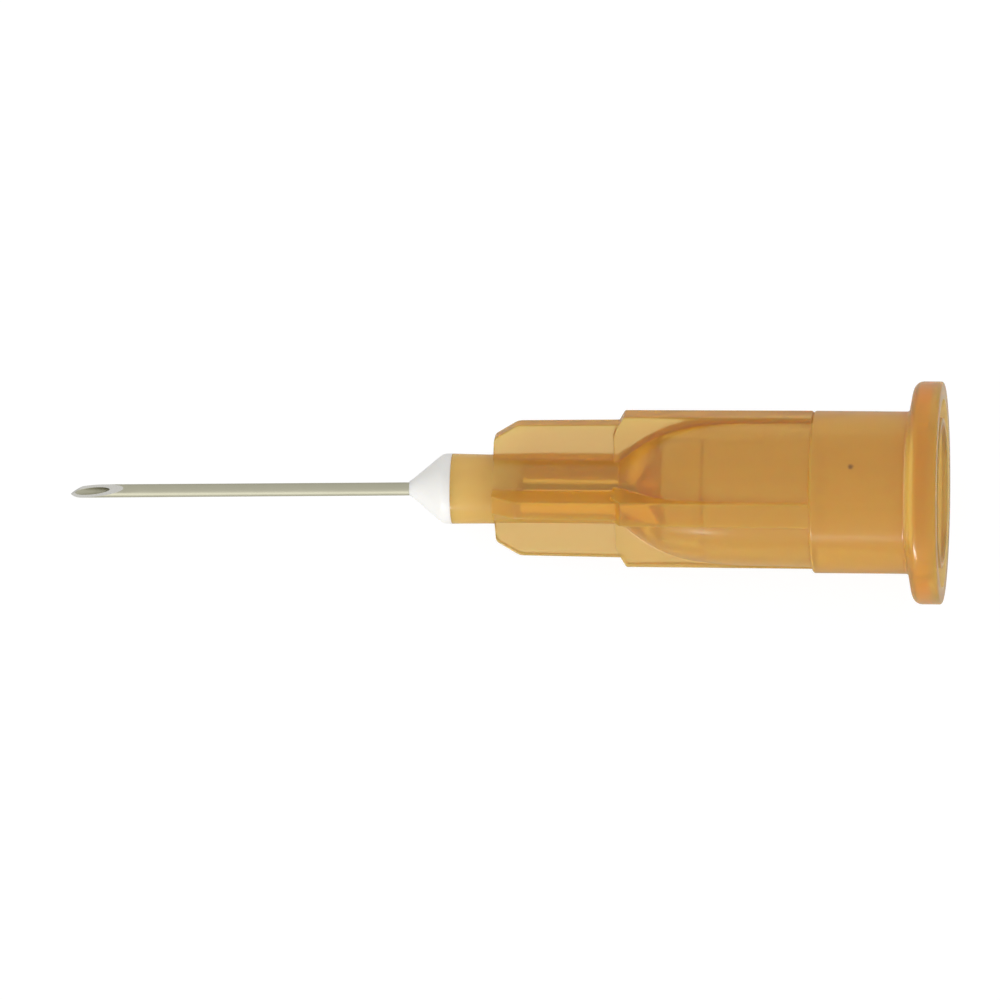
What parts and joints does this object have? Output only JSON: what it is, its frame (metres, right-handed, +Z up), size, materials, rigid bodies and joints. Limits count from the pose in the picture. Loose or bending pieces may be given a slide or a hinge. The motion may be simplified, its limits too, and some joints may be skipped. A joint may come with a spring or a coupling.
{
  "type": "hypodermic needle",
  "caption": "Hypodermic needle: a see-through amber hub with a flange, Luer socket and stepped fins holds a fine steel cannula with a lancet point in a white adhesive cone.",
  "frame": {"origin": "on the surface that the needle lies on, under the middle of its bounding box", "axes": "+Z is up; +X runs along the needle from the point to the flange, level, so the needle's own axis rises by about 7 degrees towards +X; +Y completes the right-handed frame"},
  "size_m": [0.0308, 0.0078, 0.0078],
  "materials": {
    "hub": "satin gloss, see-through amber moulding",
    "adhesive_bead": "smooth white adhesive",
    "cannula": "satin drawn steel with ground bevels"
  },
  "bodies": {
    "root": {"hub": "hub", "adhesive_bead": "adhesive_bead", "cannula": "cannula"}
  },
  "joints": []
}
